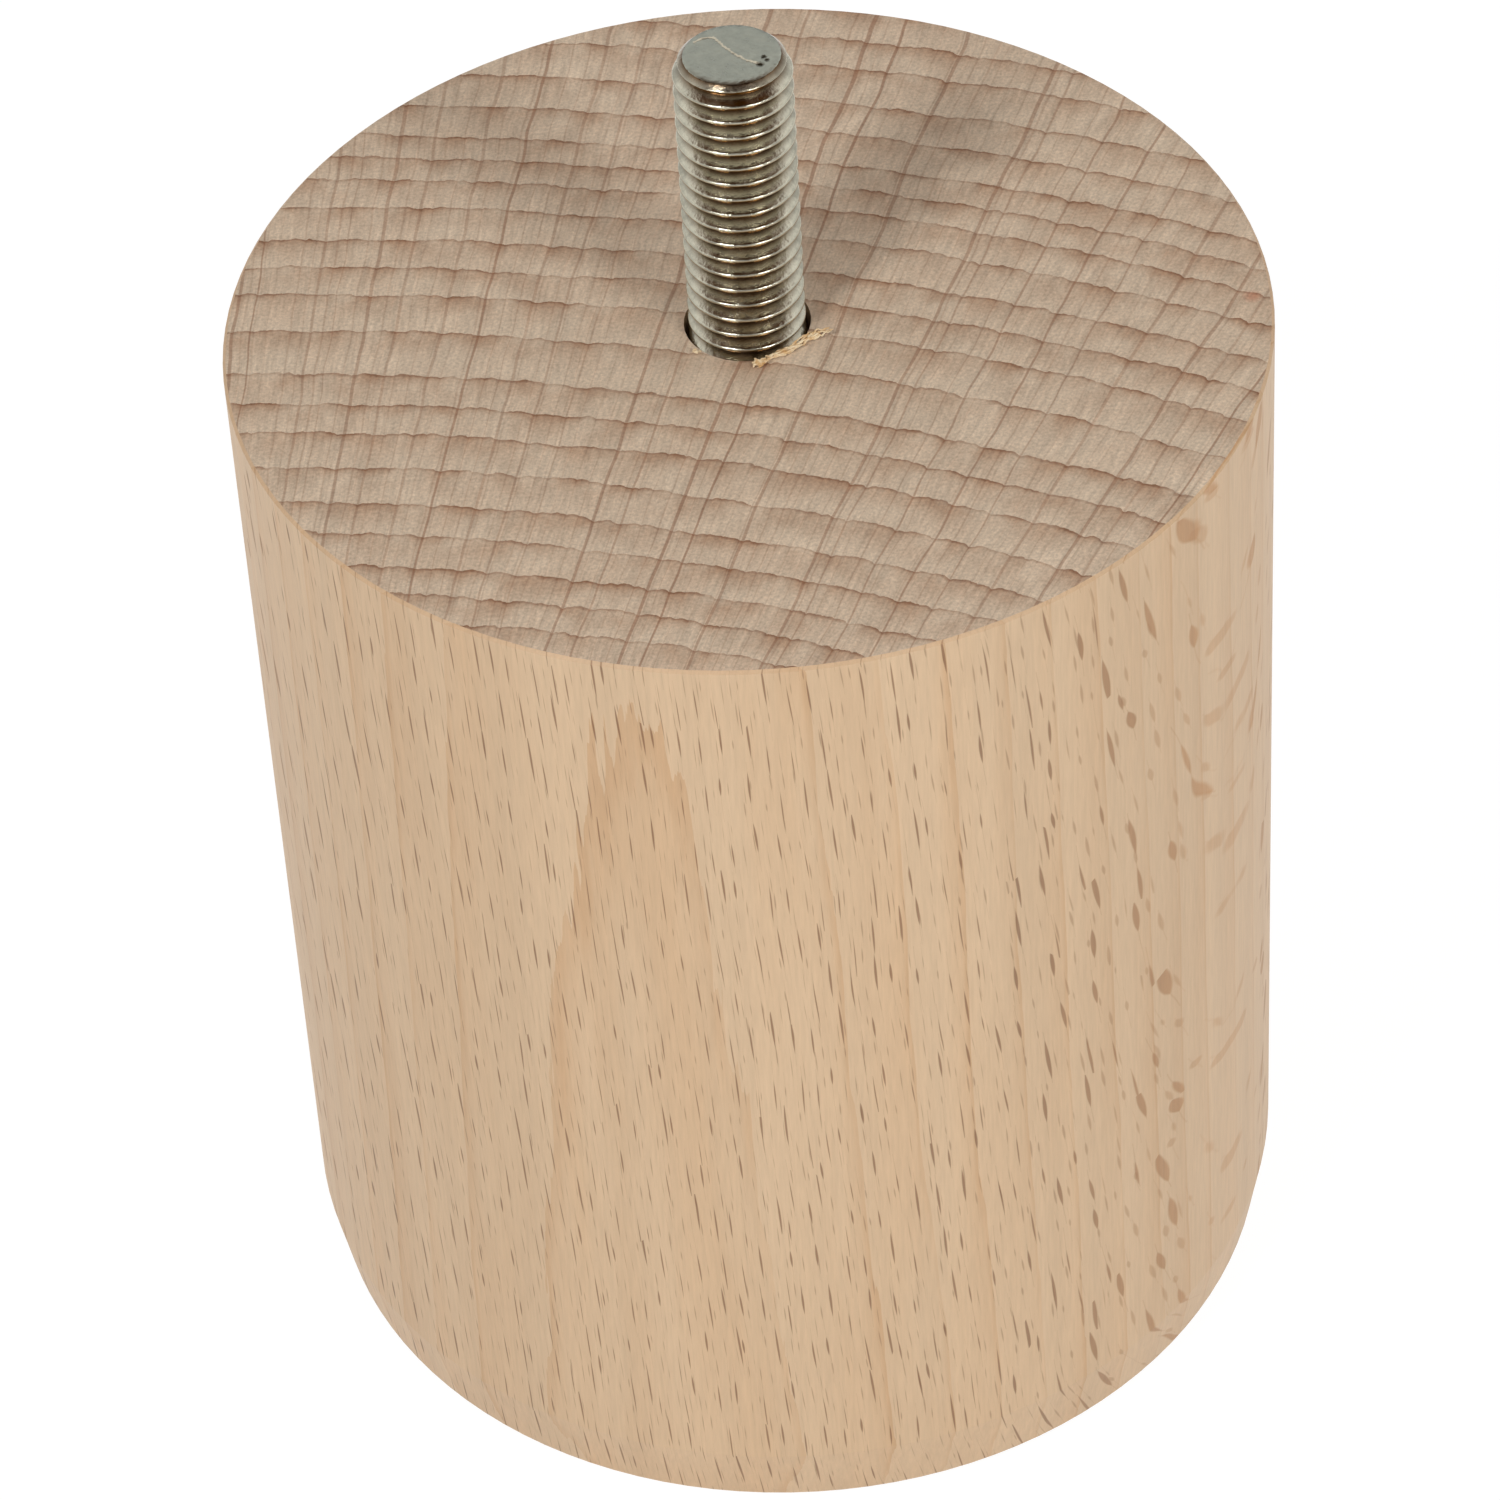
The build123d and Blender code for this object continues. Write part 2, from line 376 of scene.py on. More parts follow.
def beechMaterial():
    material, tree = newMaterial("beechTurnedAndSanded")  # pale pinkish straw with flecks and a faint sheen
    heartX, heartY = beech["heart"]
    local = addNode(tree, "ShaderNodeMapping", {
        "Vector": addNode(tree, "ShaderNodeTexCoord").outputs["Object"],
        "Scale": (metreInMm, metreInMm, metreInMm),
        "Location": (-heartX, -heartY, -topFace * metreInMm),
    })
    x, y, h = addNode(tree, "ShaderNodeSeparateXYZ", {0: local}).outputs
    flat = addNode(tree, "ShaderNodeCombineXYZ", {0: x, 1: y})
    radius = addNode(tree, "ShaderNodeVectorMath", {0: flat}, operation="LENGTH")
    angle = addNode(tree, "ShaderNodeMath", {0: x, 1: y}, operation="ARCTAN2")
    drift = addNode(tree, "ShaderNodeVectorMath", {0: local, 1: beech["strayCells"]}, operation="MULTIPLY")
    wander = addNode(tree, "ShaderNodeTexNoise", {"Vector": drift, "Scale": 1.0, "Detail": 2.0})
    along = addNode(tree, "ShaderNodeMath", {0: angle, 1: math.hypot(heartX, heartY)}, operation="MULTIPLY")
    along = addNode(tree, "ShaderNodeMath", {0: h, 1: beech["grainLean"], 2: along}, operation="MULTIPLY_ADD")
    stray = beech["stray"]
    along = addNode(tree, "ShaderNodeMath", {0: wander, 1: stray, 2: along}, operation="MULTIPLY_ADD")

    # the face's own direction tells sawn end grain from the turned side, finds the broken edge between
    # them, which slopes at 45 degrees, and says how squarely the side cuts the rays
    normal = addNode(tree, "ShaderNodeNewGeometry").outputs["True Normal"]
    upright = addNode(tree, "ShaderNodeSeparateXYZ", {0: normal}).outputs["Z"]
    upright = addNode(tree, "ShaderNodeMath", {0: upright}, operation="ABSOLUTE")
    starts, full = beech["endUpright"]
    end = addNode(tree, "ShaderNodeMapRange", {0: upright, 1: starts, 2: full})
    slope = math.sqrt(0.5)
    arris = addNode(tree, "ShaderNodeMath", {0: upright, 1: slope, 2: 0.06}, operation="COMPARE")
    outward = addNode(tree, "ShaderNodeVectorMath", {0: flat}, operation="NORMALIZE")
    square = addNode(tree, "ShaderNodeVectorMath", {0: normal, 1: outward}, operation="DOT_PRODUCT")
    square = addNode(tree, "ShaderNodeMath", {0: square}, operation="ABSOLUTE")
    starts, full = beech["broadening"]
    broad = addNode(tree, "ShaderNodeMapRange", {0: square, 1: starts, 2: full})

    aside, endRays = endRayLines(tree, along, beech["endRays"])
    fineAside, endFine = endRayLines(tree, along, beech["endFineRays"])
    seed, fineSeed = beech["raySeeds"]
    sideRays = sideRayMask(tree, along, h, broad, beech["sideRays"], seed)
    sideFine = sideRayMask(tree, along, h, broad, beech["sideFineRays"], fineSeed)

    # growth rings: early wood darkens into late wood, which ends in a thin line that each ray nicks
    bend = addNode(tree, "ShaderNodeVectorMath", {0: local, 1: beech["waveCells"]}, operation="MULTIPLY")
    wave = addNode(tree, "ShaderNodeTexNoise", {
        "Vector": bend,
        "Scale": 1.0,
        "Detail": 3.0,
        "Roughness": 0.55,
    })
    wave = addNode(tree, "ShaderNodeMath", {0: wave, 1: 0.5}, operation="SUBTRACT")
    ring = addNode(tree, "ShaderNodeMath", {0: h, 1: beech["ringTilt"], 2: radius}, operation="MULTIPLY_ADD")
    ring = addNode(tree, "ShaderNodeMath", {0: wave, 1: beech["ringWave"], 2: ring}, operation="MULTIPLY_ADD")
    fray = beech["fray"]
    ruffle = addNode(tree, "ShaderNodeVectorMath", {0: local, 1: beech["frayCells"]}, operation="MULTIPLY")
    ruffle = addNode(tree, "ShaderNodeTexNoise", {
        "Vector": ruffle,
        "Scale": 1.0,
        "Detail": 3.0,
        "Roughness": 0.6,
    })
    ruffle = addNode(tree, "ShaderNodeMapRange", {0: ruffle, 1: 0.25, 2: 0.75, 3: -fray, 4: fray})
    ring = addNode(tree, "ShaderNodeMath", {0: ring, 1: ruffle}, operation="ADD")
    for distance, sharpness, share in ((aside, -1.6, 1.0), (fineAside, -4.0, 0.4)):
        nick = addNode(tree, "ShaderNodeMath", {0: distance, 1: sharpness}, operation="MULTIPLY")
        nick = addNode(tree, "ShaderNodeMath", {0: nick}, operation="EXPONENT")
        nick = addNode(tree, "ShaderNodeMath", {0: nick, 1: end}, operation="MULTIPLY")
        pull = beech["rayNick"] * share
        ring = addNode(tree, "ShaderNodeMath", {0: nick, 1: pull, 2: ring}, operation="MULTIPLY_ADD")

    # a look one step nearer the heart tells the pace of growth, and so how many mm of the year are left
    step = 0.5
    nearer = addNode(tree, "ShaderNodeMath", {0: ring, 1: step}, operation="SUBTRACT")
    years = ringNumber(tree, ring)
    pace = addNode(tree, "ShaderNodeMath", {0: years, 1: ringNumber(tree, nearer)}, operation="SUBTRACT")
    pace = addNode(tree, "ShaderNodeMath", {0: pace, 1: 1 / step}, operation="MULTIPLY")
    phase = addNode(tree, "ShaderNodeMath", {0: years}, operation="FRACT")
    left = addNode(tree, "ShaderNodeMath", {0: 1.0, 1: phase}, operation="SUBTRACT")
    left = addNode(tree, "ShaderNodeMath", {0: left, 1: pace}, operation="DIVIDE")
    fade = addNode(tree, "ShaderNodeMath", {0: left, 1: -beech["lateFade"]}, operation="MULTIPLY")
    late = addNode(tree, "ShaderNodeMath", {0: fade}, operation="EXPONENT")
    starts, full = beech["lineWidth"]
    line = addNode(tree, "ShaderNodeMapRange", {
        0: left,
        1: starts,
        2: full,
    }, interpolation_type="SMOOTHSTEP")
    faint, strong = beech["latePatch"]
    patchy = addNode(tree, "ShaderNodeVectorMath", {0: local, 1: beech["patchCells"]}, operation="MULTIPLY")
    patch = addNode(tree, "ShaderNodeTexNoise", {"Vector": patchy, "Scale": 1.0, "Detail": 3.0})
    patch = addNode(tree, "ShaderNodeMapRange", {0: patch, 1: 0.35, 2: 0.62, 3: faint, 4: strong})
    late = addNode(tree, "ShaderNodeMath", {0: late, 1: patch}, operation="MULTIPLY")
    line = addNode(tree, "ShaderNodeMath", {0: line, 1: patch}, operation="MULTIPLY")

    # colours of the side, layer by layer, then of the end grain, and the two joined
    dash, fleck = hexColour(beech["dash"]), hexColour(beech["fleck"])
    ray = addNode(tree, "ShaderNodeMix", {0: broad, 6: dash, 7: fleck}, data_type="RGBA")
    endRay = hexColour(beech["endRay"])
    faces = []
    for face, fineMask, rayMask, rayTint in (
        ("side", sideFine, sideRays, ray),
        ("end", endFine, endRays, endRay),
    ):
        masks = (late, line, fineMask, rayMask)
        tints = (hexColour(beech[face + "Late"]), hexColour(beech[face + "Line"]), rayTint, rayTint)
        colour = hexColour(beech[face])
        for mask, strength, tint in zip(masks, beech[face + "Shares"], tints):
            share = addNode(tree, "ShaderNodeMath", {0: mask, 1: strength}, operation="MULTIPLY")
            colour = addNode(tree, "ShaderNodeMix", {0: share, 6: colour, 7: tint}, data_type="RGBA")
        faces.append(colour)
    colour = addNode(tree, "ShaderNodeMix", {0: end, 6: faces[0], 7: faces[1]}, data_type="RGBA")
    edge = addNode(tree, "ShaderNodeMath", {0: arris, 1: beech["arrisShare"]}, operation="MULTIPLY")
    worn = hexColour(beech["arris"])
    colour = addNode(tree, "ShaderNodeMix", {0: edge, 6: colour, 7: worn}, data_type="RGBA")

    # a small reddish stain on the rim of the top
    stainX, stainY = beech["stainPlace"]
    place = (stainX - heartX, stainY - heartY, 0)
    starts, full = beech["stainEdge"]
    away = addNode(tree, "ShaderNodeVectorMath", {0: flat, 1: place}, operation="DISTANCE")
    stain = addNode(tree, "ShaderNodeMapRange", {0: away, 1: starts, 2: full, 4: beech["stainShare"]})
    stain = addNode(tree, "ShaderNodeMath", {0: stain, 1: end}, operation="MULTIPLY")
    red = hexColour(beech["stain"])
    colour = addNode(tree, "ShaderNodeMix", {0: stain, 6: colour, 7: red}, data_type="RGBA")

    # fibres: streaks up the leg that are specks on the end grain, and saw marks along the rays there
    hair = addNode(tree, "ShaderNodeVectorMath", {0: local, 1: beech["fibreCells"]}, operation="MULTIPLY")
    fibre = addNode(tree, "ShaderNodeTexNoise", {
        "Vector": hair,
        "Scale": 1.0,
        "Detail": 4.0,
        "Roughness": 0.65,
    })
    wide = addNode(tree, "ShaderNodeVectorMath", {0: local, 1: beech["bandCells"]}, operation="MULTIPLY")
    band = addNode(tree, "ShaderNodeTexNoise", {"Vector": wide, "Scale": 1.0, "Detail": 3.0})
    fan = addNode(tree, "ShaderNodeCombineXYZ", {0: along, 1: radius})
    fan = addNode(tree, "ShaderNodeVectorMath", {0: fan, 1: beech["sawCells"]}, operation="MULTIPLY")
    comb = addNode(tree, "ShaderNodeTexNoise", {"Vector": fan, "Scale": 1.0, "Detail": 4.0, "Roughness": 0.7})
    sideTone, endTone = beech["fibreTone"]
    bandTone, sawTone = beech["bandTone"], beech["sawTone"]
    grit = addNode(tree, "ShaderNodeMapRange", {0: end, 3: sideTone, 4: endTone})
    tone = addNode(tree, "ShaderNodeMapRange", {0: fibre, 1: noiseLow, 2: noiseHigh, 3: -1.0, 4: 1.0})
    tone = addNode(tree, "ShaderNodeMath", {0: tone, 1: grit, 2: 1.0}, operation="MULTIPLY_ADD")
    shade = addNode(tree, "ShaderNodeMapRange", {
        0: band,
        1: noiseLow,
        2: noiseHigh,
        3: 1 - bandTone,
        4: 1 + bandTone,
    })
    saw = addNode(tree, "ShaderNodeMapRange", {
        0: comb,
        1: noiseLow,
        2: noiseHigh,
        3: 1 - sawTone,
        4: 1 + sawTone,
    })
    saw = addNode(tree, "ShaderNodeMix", {0: end, 2: 1.0, 3: saw})
    tone = addNode(tree, "ShaderNodeMath", {0: tone, 1: shade}, operation="MULTIPLY")
    tone = addNode(tree, "ShaderNodeMath", {0: tone, 1: saw}, operation="MULTIPLY")
    colour = addNode(tree, "ShaderNodeHueSaturation", {"Color": colour, "Value": tone})

    sanded, sawn = beech["roughness"]
    rough = addNode(tree, "ShaderNodeMapRange", {0: end, 3: sanded, 4: sawn})
    height = addNode(tree, "ShaderNodeMath", {0: sideRays, 1: -0.6, 2: fibre}, operation="MULTIPLY_ADD")
    bump = addNode(tree, "ShaderNodeBump", {"Height": height, "Strength": 0.3, "Distance": 0.1 * mm})
    skin = addNode(tree, "ShaderNodeBsdfPrincipled", {
        "Base Color": colour,
        "Roughness": rough,
        "Normal": bump,
        "IOR": 1.45,
    })
    addNode(tree, "ShaderNodeOutputMaterial", {"Surface": skin})
    return material


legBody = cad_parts["leg_body"]
legBody.data.materials.clear()
legBody.data.materials.append(beechMaterial())
print("leg body finished")

# splinters that the drill tore out of the rim of the hole

splinters = {
    "bundles": (                 # mm: start, end, on the top face
        ((1.15, -4.30, 0.06), (2.45, -3.85, 0.30)),
        ((1.8, -4.0, 0.08), (3.5, -3.15, 0.22)),
        ((2.6, -3.7, 0.05), (3.9, -2.75, 0.40)),
        ((3.45, -2.75, 0.10), (4.5, -2.15, 0.35)),
        ((3.9, -2.55, 0.20), (5.45, -2.1, 0.50)),
        ((0.25, -4.6, 0.05), (0.8, -5.0, 0.25)),
        ((0.45, -4.55, 0.10), (1.05, -4.85, 0.35)),
        ((0.9, -4.5, 0.10), (0.6, -5.1, 0.22)),
        ((-3.35, -3.05, 0.05), (-3.65, -3.2, 0.14)),
    ),
    "strands": 6,
    "spread": 0.42,              # mm
    "thickness": 0.07,
    "seed": 4,
    "points": 12,                # along each strand
    "sides": 5,
    "start": (0.4, 0.4, 0.3),    # how far a strand starts from its bundle's line, in spreads
    "curl": (2.2, 2.2, 1.6),     # how far it bows, in spreads
    "curlCells": 1.3,            # bends in a mm
    "frayCells": 2.5,            # changes of colour in a mm
    "taper": 3.0,                # the higher, the later a strand thins
    "tipSize": 0.15,             # thickness that is left at its tip, as a share
    "colour": "D8B07A",
    "tip": "F0DDBA",
}


def splinterTree(material):
    tree, given, result = geometryTree("splinterTree", {
        "Strands": "NodeSocketInt",
        "Spread": "NodeSocketFloat",
        "Thickness": "NodeSocketFloat",
        "Seed": "NodeSocketInt",
    })
    lines = addNode(tree, "GeometryNodeMeshToCurve", {"Mesh": given["Guide"]})
    many = addNode(tree, "GeometryNodeDuplicateElements", {
        0: lines,
        "Amount": given["Strands"],
    }, domain="SPLINE")
    fine = addNode(tree, "GeometryNodeResampleCurve", {
        "Curve": many.outputs[0],
        "Count": splinters["points"],
    })
    share = addNode(tree, "GeometryNodeSplineParameter").outputs["Factor"]
    copy = addNode(tree, "GeometryNodeInputIndex")
    strand = addNode(tree, "GeometryNodeFieldOnDomain", {0: copy}, domain="CURVE", data_type="FLOAT")

    # each strand starts somewhere else along the bundle, bows its own way and thins towards its tip
    own = addNode(tree, "FunctionNodeRandomValue", {
        "ID": strand,
        "Seed": given["Seed"],
    }, data_type="FLOAT_VECTOR")
    own.inputs[0].default_value = (-1.0, -1.0, -0.3)
    own.inputs[1].default_value = (1.0, 1.0, 1.0)
    place = addNode(tree, "GeometryNodeInputPosition")
    rough = addNode(tree, "ShaderNodeVectorMath", {0: own, 1: place}, operation="ADD")
    cells = splinters["curlCells"] * metreInMm
    curl = addNode(tree, "ShaderNodeTexNoise", {"Vector": rough, "Scale": cells, "Detail": 2.0})
    middle = (0.5, 0.5, 0.42)    # the noise's own, a little low so that the strands rise
    curl = addNode(tree, "ShaderNodeVectorMath", {0: curl.outputs["Color"], 1: middle}, operation="SUBTRACT")
    curl = addNode(tree, "ShaderNodeVectorMath", {0: curl, 1: splinters["curl"]}, operation="MULTIPLY")
    shift = addNode(tree, "ShaderNodeVectorMath", {0: own, 1: splinters["start"]}, operation="MULTIPLY")
    shift = addNode(tree, "ShaderNodeVectorMath", {0: shift, 1: curl}, operation="ADD")
    shift = addNode(tree, "ShaderNodeVectorMath", {0: shift}, operation="SCALE")
    tree.links.new(given["Spread"], shift.inputs["Scale"])
    bowed = addNode(tree, "GeometryNodeSetPosition", {"Geometry": fine, "Offset": shift})
    slim = addNode(tree, "ShaderNodeMath", {0: share, 1: splinters["taper"]}, operation="POWER")
    slim = addNode(tree, "ShaderNodeMath", {0: 1.0, 1: slim}, operation="SUBTRACT")
    slim = addNode(tree, "ShaderNodeMath", {0: slim, 1: splinters["tipSize"]}, operation="ADD")
    size = addNode(tree, "ShaderNodeMath", {0: slim, 1: given["Thickness"]}, operation="MULTIPLY")
    ring = addNode(tree, "GeometryNodeCurvePrimitiveCircle", {
        "Resolution": splinters["sides"],
        "Radius": 1.0,
    })
    tubes = addNode(tree, "GeometryNodeCurveToMesh", {
        "Curve": bowed,
        "Profile Curve": ring,
        "Scale": size,
        "Fill Caps": True,
    })
    real = addNode(tree, "GeometryNodeRealizeInstances", {"Geometry": tubes})
    finished = addNode(tree, "GeometryNodeSetMaterial", {"Geometry": real, "Material": material})
    tree.links.new(finished.outputs[0], result.inputs[0])
    return tree


def splinterMaterial():
    material, tree = newMaterial("beechTornFibre")  # bright straw, paler and drier where it frays
    place = addNode(tree, "ShaderNodeTexCoord").outputs["Object"]
    cells = splinters["frayCells"] * metreInMm
    fray = addNode(tree, "ShaderNodeTexNoise", {"Vector": place, "Scale": cells, "Detail": 3.0})
    share = addNode(tree, "ShaderNodeMapRange", {0: fray, 1: 0.4, 2: 0.62})
    straw, dry = hexColour(splinters["colour"]), hexColour(splinters["tip"])
    colour = addNode(tree, "ShaderNodeMix", {0: share, 6: straw, 7: dry}, data_type="RGBA")
    skin = addNode(tree, "ShaderNodeBsdfPrincipled", {"Base Color": colour, "Roughness": 0.8, "IOR": 1.45})
    addNode(tree, "ShaderNodeOutputMaterial", {"Surface": skin})
    return material


def makeSplinters():
    points = []
    for bundle in splinters["bundles"]:
        for px, py, rise in bundle:
            points.append((px * mm, py * mm, topFace + rise * mm))
    edges = [(n, n + 1) for n in range(0, len(points), 2)]
    piece = meshFromTree("tornFibres", splinterTree(splinterMaterial()), {
        "Strands": splinters["strands"],
        "Spread": splinters["spread"] * mm,
        "Thickness": splinters["thickness"] * mm,
        "Seed": splinters["seed"],
    }, (points, edges))
    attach(piece, "root")
    print("torn fibres made:", len(piece.data.polygons), "faces")


makeSplinters()

# hanger bolt: rolled thread, plated

bolt = {
    "threadDiameter": 7.86,      # mm, a rolled thread is a little under its nominal size
    "threadPitch": 1.25,
    "threadDepth": 0.76,
    "endFlat": 6.35,
    "shankDiameter": 7.1,
    "shankLength": 6.0,
    "screwDiameter": 6.4,
    "pointLength": 5.0,
    "columns": 88,
    "rowsPerPitch": 32,
    "hiddenTurns": 2,            # turns of rows that are given to the end inside the leg
    "closingTurns": 1.25,        # turns of rows past the top, which close the flat end
    "closingShare": 0.25,        # share of a pitch in which they reach its middle
    "cornerBlend": 0.06,         # mm
    "weldGap": 0.002,            # mm
    "profile": (                 # share of the pitch from the middle of the crest, share of the depth
        (0.0, 0.0), (0.032, 0.0), (0.064, 0.03), (0.095, 0.10), (0.41, 0.94), (0.44, 1.0),
    ),
    "plate": "CECAB7",
    # painted shade and a painted brown reflection of the wood, laid down in the thread's grooves
    "groove": "5A380B",
    "grooveShadeRise": 0.56,          # mm out from the root, over which the painted shade gives way to the plate's colour
    "endFace": "B7BBAE",
    "endSkin": 0.03,             # mm under the top that count as the end face
    "cloudTone": (0.78, 1.15),
    "roughness": (0.13, 0.28),
    "endRoughness": 0.12,        # added on the end face
    "scratch": (                 # mm across the end face, from its middle
        (-2.3, 1.6), (-1.9, 1.9), (-1.15, 2.0), (0.1, 0.15), (1.0, -0.7), (1.9, -1.2),
    ),
    "scratchEdge": (0.13, 0.05),  # mm from its middle, where it starts and is full
    "scratchTone": "F2EAD2",
    "pits": ((1.8, -1.25, 0.3), (2.05, -0.5, 0.22), (2.25, -0.85, 0.16)),    # mm: place and radius
    "pitTone": "3A3222",
    "ragged": 0.35,              # mm that the scratch and the pits stray
}


def boltTree(material):
    lengths = (
        "Top", "Face", "Tip", "Thread Diameter", "Thread Pitch", "Thread Depth",
        "End Flat", "Shank Diameter", "Shank Length", "Screw Diameter", "Point Length",
    )
    kinds = {label: "NodeSocketFloat" for label in lengths}
    kinds.update({label: "NodeSocketInt" for label in ("Columns", "Rows", "Rows Per Pitch", "Hidden Turns")})
    tree, given, result = geometryTree("hangerBoltTree", kinds)
    grid = addNode(tree, "GeometryNodeMeshGrid", {
        "Size X": 1.0,
        "Size Y": 1.0,
        "Vertices X": given["Columns"],
        "Vertices Y": given["Rows"],
    })
    place = addNode(tree, "GeometryNodeInputPosition")
    u, v, _ = addNode(tree, "ShaderNodeSeparateXYZ", {0: place}).outputs
    turn = addNode(tree, "ShaderNodeMath", {0: u, 1: 0.5}, operation="ADD")
    angle = addNode(tree, "ShaderNodeMath", {0: turn, 1: math.tau}, operation="MULTIPLY")

    # every row winds up one pitch a turn, so that the thread's edges run along the rows
    row = addNode(tree, "ShaderNodeMath", {0: v, 1: 0.5}, operation="ADD")
    lastRow = addNode(tree, "ShaderNodeMath", {0: given["Rows"], 1: 1.0}, operation="SUBTRACT")
    row = addNode(tree, "ShaderNodeMath", {0: row, 1: lastRow}, operation="MULTIPLY")
    wound = addNode(tree, "ShaderNodeMath", {0: row, 1: given["Rows Per Pitch"]}, operation="DIVIDE")
    wound = addNode(tree, "ShaderNodeMath", {0: wound, 1: turn}, operation="ADD")
    pastTip = addNode(tree, "ShaderNodeMath", {0: wound, 1: 1.0}, operation="SUBTRACT")
    turns, pitch = given["Hidden Turns"], given["Thread Pitch"]
    rising = addNode(tree, "ShaderNodeMath", {0: pastTip, 1: turns}, operation="DIVIDE", use_clamp=True)
    pastHidden = addNode(tree, "ShaderNodeMath", {0: pastTip, 1: turns}, operation="SUBTRACT")
    pastHidden = addNode(tree, "ShaderNodeMath", {0: pastHidden, 1: 0.0}, operation="MAXIMUM")
    threadStart = addNode(tree, "ShaderNodeMath", {0: given["Face"], 1: pitch}, operation="SUBTRACT")
    hidden = addNode(tree, "ShaderNodeMapRange", {0: rising, 3: given["Tip"], 4: threadStart})
    free = addNode(tree, "ShaderNodeMath", {0: pastHidden, 1: pitch}, operation="MULTIPLY")
    free = addNode(tree, "ShaderNodeMath", {0: free, 1: hidden}, operation="ADD")
    z = addNode(tree, "ShaderNodeMath", {0: free, 1: given["Top"]}, operation="MINIMUM")

    # rows past the top close the flat end
    excess = addNode(tree, "ShaderNodeMath", {0: free, 1: given["Top"]}, operation="SUBTRACT")
    excess = addNode(tree, "ShaderNodeMath", {0: excess, 1: pitch}, operation="DIVIDE")
    share = bolt["closingShare"]
    closing = addNode(tree, "ShaderNodeMapRange", {0: excess, 1: 0.0, 2: share, 3: 1.0, 4: 0.0})

    # thread: crest to root and back once a pitch
    lead = addNode(tree, "ShaderNodeMath", {0: wound}, operation="FRACT")
    lead = addNode(tree, "ShaderNodeMath", {0: lead, 1: 0.5}, operation="SUBTRACT")
    lead = addNode(tree, "ShaderNodeMath", {0: lead}, operation="ABSOLUTE")
    lead = addNode(tree, "ShaderNodeMath", {0: lead, 1: 2.0}, operation="MULTIPLY")
    fall = addNode(tree, "ShaderNodeFloatCurve", {"Value": lead})
    setCurve(fall, [(2 * share, depth) for share, depth in bolt["profile"]] + [(1.0, 1.0)])
    widest = given["Thread Diameter"]
    threadRadius = addNode(tree, "ShaderNodeMath", {0: widest, 1: 0.5}, operation="MULTIPLY")
    groove = addNode(tree, "ShaderNodeMath", {0: fall, 1: given["Thread Depth"]}, operation="MULTIPLY")
    threaded = addNode(tree, "ShaderNodeMath", {0: threadRadius, 1: groove}, operation="SUBTRACT")
    flat = addNode(tree, "ShaderNodeMath", {0: given["End Flat"], 1: 0.5}, operation="MULTIPLY")
    below = addNode(tree, "ShaderNodeMath", {0: given["Top"], 1: z}, operation="SUBTRACT")
    cone = addNode(tree, "ShaderNodeMath", {0: flat, 1: below}, operation="ADD")
    blend = bolt["cornerBlend"] * mm
    threaded = addNode(tree, "ShaderNodeMath", {0: threaded, 1: cone, 2: blend}, operation="SMOOTH_MIN")

    # hidden end: shank, plain screw end and point
    shank = addNode(tree, "ShaderNodeMath", {0: given["Shank Diameter"], 1: 0.5}, operation="MULTIPLY")
    screw = addNode(tree, "ShaderNodeMath", {0: given["Screw Diameter"], 1: 0.5}, operation="MULTIPLY")
    face, depth = given["Face"], given["Shank Length"]
    shankFoot = addNode(tree, "ShaderNodeMath", {0: face, 1: depth}, operation="SUBTRACT")
    onShank = addNode(tree, "ShaderNodeMath", {0: z, 1: shankFoot}, operation="GREATER_THAN")
    plain = addNode(tree, "ShaderNodeMix", {0: onShank, 2: screw, 3: shank})
    point = given["Point Length"]
    fromTip = addNode(tree, "ShaderNodeMath", {0: z, 1: given["Tip"]}, operation="SUBTRACT")
    taper = addNode(tree, "ShaderNodeMath", {0: fromTip, 1: point}, operation="DIVIDE", use_clamp=True)
    plain = addNode(tree, "ShaderNodeMath", {0: plain, 1: taper}, operation="MULTIPLY")
    inThread = addNode(tree, "ShaderNodeMath", {0: z, 1: threadStart}, operation="GREATER_THAN")
    radius = addNode(tree, "ShaderNodeMix", {0: inThread, 2: plain, 3: threaded})
    radius = addNode(tree, "ShaderNodeMath", {0: radius, 1: closing}, operation="MULTIPLY")

    across = addNode(tree, "ShaderNodeMath", {0: angle}, operation="COSINE")
    across = addNode(tree, "ShaderNodeMath", {0: across, 1: radius}, operation="MULTIPLY")
    deep = addNode(tree, "ShaderNodeMath", {0: angle}, operation="SINE")
    deep = addNode(tree, "ShaderNodeMath", {0: deep, 1: radius}, operation="MULTIPLY")
    spot = addNode(tree, "ShaderNodeCombineXYZ", {0: across, 1: deep, 2: z})
    placed = addNode(tree, "GeometryNodeSetPosition", {"Geometry": grid, "Position": spot})
    weld = bolt["weldGap"] * mm
    joined = addNode(tree, "GeometryNodeMergeByDistance", {"Geometry": placed, "Distance": weld})
    smooth = addNode(tree, "GeometryNodeSetShadeSmooth", {"Geometry": joined})
    real = addNode(tree, "GeometryNodeRealizeInstances", {"Geometry": smooth})
    finished = addNode(tree, "GeometryNodeSetMaterial", {"Geometry": real, "Material": material})
    tree.links.new(finished.outputs[0], result.inputs[0])
    return tree


